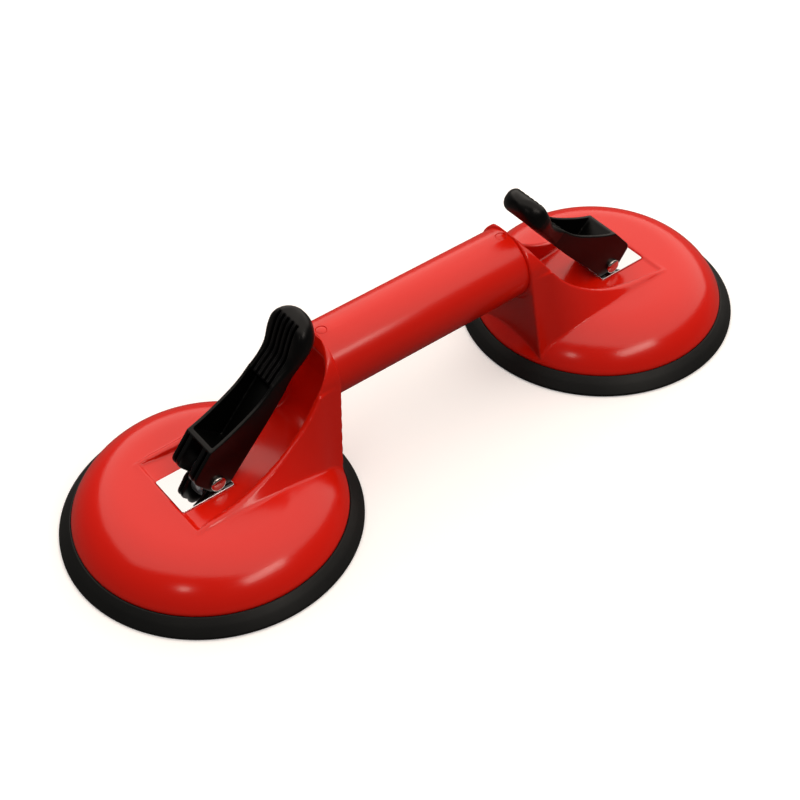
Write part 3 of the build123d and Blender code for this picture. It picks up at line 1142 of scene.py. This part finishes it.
@dataclass
class HandleTube:
    """Painted steel tube and the two button-headed rivets that pin it."""

    radius: float = 15.0
    wall: float = 2.0
    length: float = 95.0
    axis: float = 52.4
    # the holes for the rivets, and the spot faces for their heads
    rivet_at: float = 44.5
    hole: float = 1.55
    hole_depth: float = 4.0
    spot_face: float = 2.35
    spot_depth: float = 0.49
    # a rivet, and its place from the cup's axis
    rivet_head: float = 2.2
    rivet_rise: float = 0.7
    shank: float = 1.5
    shank_length: float = 5.2
    rivet_place: float = -57.0

    def shape(self) -> Piece:
        """Turns the tube, then drills and spot-faces it for the rivets.

        Returns:
            The tube.
        """
        end = self.length / 2
        inner = self.radius - self.wall
        profile = rounded([
            (inner, -end, 0.2), (self.radius, -end, 0.4), (self.radius, end, 0.4), (inner, end, 0.2),
        ], 4)
        tube = Bench.lathe(profile, 192, closed=True)
        Bench.lay(tube, ALONG_HANDLE, (0, 0, self.axis))
        top = self.axis + self.radius
        for side in Side:
            for radius, depth in ((self.hole, self.hole_depth), (self.spot_face, self.spot_depth)):
                cutter = Bench.bar(radius, top - depth, top + 2, 48)
                Bench.place(cutter, at=(side.value * self.rivet_at, 0, 0))
                Bench.combine(tube, cutter, Cut.TAKE)
        Bench.smooth(tube, 35)
        return tube

    def rivet(self) -> Piece:
        """Turns one rivet, about the cup's axis.

        Returns:
            The rivet.
        """
        seat = self.axis + self.radius - self.spot_depth
        foot = seat - self.shank_length
        head = quarter((0.0, seat), self.rivet_head, self.rivet_rise, 10)
        shank = [(self.rivet_head, seat), (self.shank, seat), (self.shank, foot), (0.0, foot)]
        rivet = Bench.lathe(head + shank, 48)
        Bench.place(rivet, at=(self.rivet_place, 0, 0))
        Bench.smooth(rivet, 40)
        return rivet

    def build(self, fitter: Fitter) -> None:
        """Sets the tube between the housings and a rivet at each end."""
        fitter.settle(self.shape(), "handle_tube_painted", "handle_tube", "frame", SPRAYED_ENAMEL)
        fitter.on_both_cups(self.rivet(), "handle_rivet", "button", "frame", SPRAYED_ENAMEL)


@dataclass
class CamLever:
    """Black lever: four cam plates, open channel, and a dished paddle with grooves.

    It is drawn along, over and across itself, from the pin.
    """

    pin_height: float = 27.25
    pin_hole: float = 2.3
    angle: float = 47.4
    half: float = 8.3
    spine: float = 6.6
    # the cam: where its foot ends, then the corners round to its back, each with its rounding
    cam_foot: float = 1.72
    cam: tuple[Triple, ...] = ((-4.4, 0.06, 0.5), (-2.35, 11.42, 3.0), (11.8, 12.24, 0.6))
    back_start: float = 13.0
    belly_start: float = 32.3
    belly_end: float = 6.1
    # the slot for the stud's eye, the kerfs by the cheeks, and the channel behind the bridge
    eye_slot: float = 3.5
    eye_end: float = 7.3
    pocket_start: float = -2.0
    pocket_end: float = 11.25
    cheek: float = 1.5
    kerf: float = 1.3
    web: float = 2.2
    bridge: float = 13.2
    channel_end: float = 44.8
    channel_slope: float = 3.3
    # the paddle: where it closes in its two views, and the half-sizes it closes from
    paddle_start: float = 44.2
    tip: float = 73.4
    plan_close: float = 63.0
    plan_half: float = 11.05
    side_close: float = 66.0
    side_half: float = 4.85
    groove: float = 1.35
    groove_depth: float = 1.4
    groove_start: float = 41.8
    groove_end: float = 68.8
    groove_run: float = 0.8
    grooves: int = 5
    # curves by place along the lever: the block's back, then the paddle's half-width, middle,
    # half-thickness, edge rounding and dish
    back: tuple[Point, ...] = (
        (11.8, 12.24), (17.4, 9.2), (24.0, 6.3), (32.3, 3.25), (38.0, 1.9), (44.2, 1.3), (47.0, 1.1),
    )
    flare: tuple[Point, ...] = (
        (44.2, 8.25), (49.5, 8.8), (54.5, 9.7), (60.5, 10.9), (63.0, 11.0), (66.0, 11.0),
    )
    middle: tuple[Point, ...] = (
        (44.2, -2.4), (49.5, -2.45), (54.5, -2.35), (60.5, -1.15), (66.0, -0.15), (74.0, 0.6),
    )
    thick: tuple[Point, ...] = (
        (44.2, 3.65), (49.5, 3.25), (54.5, 3.05), (60.5, 4.05), (66.0, 4.85), (74.0, 4.9),
    )
    edge: tuple[Point, ...] = (
        (44.2, 0.6), (49.5, 1.8), (54.5, 2.2), (60.5, 3.2), (66.0, 4.0), (74.0, 4.0),
    )
    dish: tuple[Point, ...] = (
        (43.0, 1.2), (46.0, 1.2), (50.0, 0.75), (54.5, 0.7), (60.5, 2.9), (66.0, 4.6), (68.8, 4.8),
    )
    # how far cutters reach: over the lever, and before its cam
    over: float = 40.0
    before: float = -30.0

    def view(self, along: float, over: float, across: float) -> Vector:
        """Places a point of the lever at rest.

        Args:
            along: the place from the pin towards the paddle.
            over: the place from the pin towards the lever's back.
            across: the place across the lever.

        Returns:
            The point about the cup's axis.
        """
        lean = math.radians(self.angle)
        return Vector((
            -math.cos(lean) * along + math.sin(lean) * over,
            across,
            self.pin_height + math.sin(lean) * along + math.cos(lean) * over,
        ))

    def block(self) -> Piece:
        """Extrudes the flat-sided part, from the cam to the paddle.

        Returns:
            The block.
        """
        places = spread(self.back_start, self.paddle_start, 26)
        outline = rounded([
            (self.cam_foot, -self.spine, 0.0), *self.cam,
            *((along, through(self.back, along), 0.0) for along in places),
            (self.paddle_start, -self.belly_end, 0.0), (self.belly_start, -self.spine, 0.0),
        ], 8)
        return Bench.prism(outline, self.view, -self.half, self.half)

    def section(self, along: float) -> list[Vector]:
        """Draws one section of the paddle, which closes towards its tip as an ellipse does.

        Args:
            along: the section's place.

        Returns:
            The section's points.
        """
        half, thick, middle = (through(line, along) for line in (self.flare, self.thick, self.middle))
        if along > self.plan_close:
            share = (along - self.plan_close) / (self.tip - self.plan_close)
            half = self.plan_half * math.sqrt(1 - share**2)
        if along > self.side_close:
            share = (along - self.side_close) / (self.tip - self.side_close)
            thick = self.side_half * math.sqrt(1 - share**2)
        radius = min(through(self.edge, along), 0.92 * min(half, thick))
        low, high = (-half, middle - thick), (half, middle + thick)
        corners = rounded([(*corner, radius) for corner in oblong(low, high)], 10)
        return [self.view(along, over, across) for across, over in corners]

    def paddle(self) -> Piece:
        """Lofts the thumb paddle, which flares, dishes and closes to a round end.

        Returns:
            The paddle.
        """
        places = spread(self.paddle_start - 0.6, self.plan_close - 1.0, 26)
        for turn in spread(0, 88.5, 18):
            end = (self.tip - self.plan_close) * math.sin(math.radians(turn))
            places.append(self.plan_close + end)
        return Bench.loft([self.section(along) for along in places])

    def shape(self) -> Piece:
        """Builds the lever, then rounds its edges as its mould does.

        Returns:
            The lever.
        """
        lever = Bench.combine(self.block(), self.paddle(), Cut.ADD)
        inner = self.half - self.cheek
        floor = self.web - self.spine
        channel = rounded([
            (self.bridge, floor, 1.0),
            (self.channel_end - self.channel_slope, floor, 3.0),
            (self.channel_end, self.spine, 0.0),
            (self.channel_end, self.over, 0.0), (self.bridge, self.over, 0.0),
        ], 8)
        slot = oblong((self.before, -self.over), (self.eye_end, self.over))
        pocket = oblong((self.pocket_start, floor), (self.pocket_end, self.over))
        gap = oblong((self.before, floor), (self.pocket_end, self.over))
        for outline, low, high in (
            (channel, -inner, inner),
            (slot, -self.eye_slot, self.eye_slot),
            (pocket, -self.eye_slot, self.eye_slot),
            (gap, -inner, -inner + self.kerf),
            (gap, inner - self.kerf, inner - self.kerf + self.kerf),
        ):
            Bench.combine(lever, Bench.prism(outline, self.view, low, high), Cut.TAKE)
        self.cut_grooves(lever)
        hole = Bench.bar(self.pin_hole, -12.0, 12.0, 64)
        Bench.lay(hole, ACROSS_HANDLE, (0, 0, self.pin_height))
        Bench.combine(lever, hole, Cut.TAKE)
        Bench.soften(lever, grid=0.3, passes=3)
        return lever

    def cut_grooves(self, lever: Piece) -> None:
        """Cuts the grooves that follow the paddle's dish and stop short of its end.

        Args:
            lever: the lever to cut.
        """
        top = 12.0
        bottom = [
            (along, through(self.dish, max(along, self.dish[0][0])) - self.groove_depth)
            for along in spread(self.groove_start, self.groove_end, 30)
        ]
        outline = bottom + [(self.groove_end + self.groove_run, top), (self.groove_start, top)]
        pitch = 2 * self.half / (self.grooves + 1)
        for index in range(self.grooves):
            middle = pitch * (index + 1) - self.half
            low, high = middle - self.groove / 2, middle + self.groove / 2
            Bench.combine(lever, Bench.prism(outline, self.view, low, high), Cut.TAKE)

    def build(self, fitter: Fitter) -> None:
        """Sets a lever on each cup."""
        fitter.on_both_cups(self.shape(), "cam_lever", "moulding", "lever", MOULDED_NYLON)


@dataclass
class CamHardware:
    """Wear plate, pivot pin and lock washer."""

    plate: tuple[Point, Point] = ((-6.4, -10.0), (17.0, 10.0))
    plate_corner: float = 0.8
    plate_low: float = 22.4
    plate_top: float = 23.8
    plate_hole: float = 5.2
    pin_height: float = 27.25
    pin: float = 2.25
    pin_chamfer: float = 0.3
    head: float = 3.2
    head_height: float = 1.7
    head_rim: float = 0.45
    reach: float = 8.4
    tail: float = 1.4
    washer_wall: float = 0.8
    washer_play: float = 0.025

    def wear_plate(self) -> Piece:
        """Stamps the plate: rounded corners, the stud's hole, and edges broken by tumbling.

        Returns:
            The plate.
        """
        corners = [(*corner, self.plate_corner) for corner in oblong(*self.plate)]
        plate = Bench.prism(rounded(corners), plan_view, self.plate_low, self.plate_top)
        Bench.combine(plate, Bench.bar(self.plate_hole, 10.0, 40.0, 96), Cut.TAKE)
        Bench.round_edges(plate, 0.2, 3)
        return plate

    def set_across(self, piece: Piece) -> Piece:
        """Lays a turned piece on the cam's axis and shades it.

        Args:
            piece: the piece, upright on the origin.

        Returns:
            The piece.
        """
        Bench.lay(piece, ACROSS_HANDLE, (0, 0, self.pin_height))
        Bench.smooth(piece, 40)
        return piece

    def pivot_pin(self) -> Piece:
        """Turns the headed pin: a low domed head, a shank, and a chamfered tail.

        Returns:
            The pin.
        """
        rim = self.head_height * self.head_rim
        head = quarter((0.0, self.reach + rim), self.head, self.head_height - rim, 12)
        tail = -self.reach - self.tail
        shank = [
            (self.head, self.reach), (self.pin, self.reach), (self.pin, tail + self.pin_chamfer),
            (self.pin - self.pin_chamfer, tail), (0.0, tail),
        ]
        return self.set_across(Bench.lathe(head + shank, 64))

    def washer(self) -> Piece:
        """Turns the lock washer that is pressed on the pin's tail.

        Returns:
            The washer.
        """
        low, high = -self.reach - self.washer_wall, -self.reach
        inner = self.pin + self.washer_play
        corners = [
            (inner, low, 0.1), (self.head, low, 0.25), (self.head, high, 0.25), (inner, high, 0.1),
        ]
        return self.set_across(Bench.lathe(rounded(corners, 4), 64, closed=True))

    def build(self, fitter: Fitter) -> None:
        """Sets the plate, pin and washer on each cup.

        Args:
            fitter: what sets them.
        """
        fitter.on_both_cups(self.wear_plate(), "wear_plate", "stamping", "frame", BRIGHT_CHROME)
        fitter.on_both_cups(self.pivot_pin(), "pivot_pin", "turning", "stud", NICKEL_PIN)
        fitter.on_both_cups(self.washer(), "pin_washer", "ring", "stud", NICKEL_PIN)


@dataclass
class ReturnSpring:
    """Conical wire spring over the pad's insert."""

    wire: float = 0.7
    foot: float = 15.0
    head: float = 10.5
    turns: float = 3.0
    low: float = 9.3
    high: float = 18.6
    held: float = 19.3
    closed: float = 0.17
    sections: int = 145
    facets: int = 12

    def shape(self) -> Piece:
        """Winds the wire from the insert up to the crown.

        Returns:
            The spring.
        """
        rings = []
        for share in spread(0.0, 1.0, self.sections):
            turn = Matrix.Rotation(math.tau * self.turns * share, 3, "Z")
            radius = self.foot + (self.head - self.foot) * share
            height = self.low + (self.high - self.low) * share
            section = arc((radius, height), self.wire, 0, 360 - 360 / self.facets, self.facets)
            rings.append([turn @ Vector((along, 0, up)) for along, up in section])
        spring = Bench.loft(rings)
        Bench.smooth(spring, 45)
        return spring

    def build(self, fitter: Fitter) -> None:
        """Sets a spring under each crown.

        Args:
            fitter: what sets them.
        """
        pair = fitter.on_both_cups(self.shape(), "return_spring", "coil", "frame", DRAWN_WIRE)
        for side, spring in pair.items():
            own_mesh(spring)


def dress_solids(nodes: dict[str, Piece], fitter: Fitter) -> None:
    """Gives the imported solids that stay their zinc.

    Args:
        nodes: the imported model's nodes by name.
        fitter: what dresses them.
    """
    for name, node in nodes.items():
        if name.endswith(("pad_insert", "pull_stud")):
            fitter.dress(node, ZINC_STEEL)


def main() -> None:
    """Builds the pieces in order and reports each."""
    logging.basicConfig(level=logging.INFO, format="%(name)s: %(message)s")
    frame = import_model()
    Studio().build()
    LOG.info("studio built")
    fitter = Fitter()
    dress_solids(frame["nodes"], fitter)
    for assembly in (RubberPad(), CupHousing(), HandleTube(), CamHardware(), ReturnSpring(), CamLever()):
        assembly.build(fitter)
        LOG.info("%s built", type(assembly).__name__)


if __name__ == "__main__":
    main()
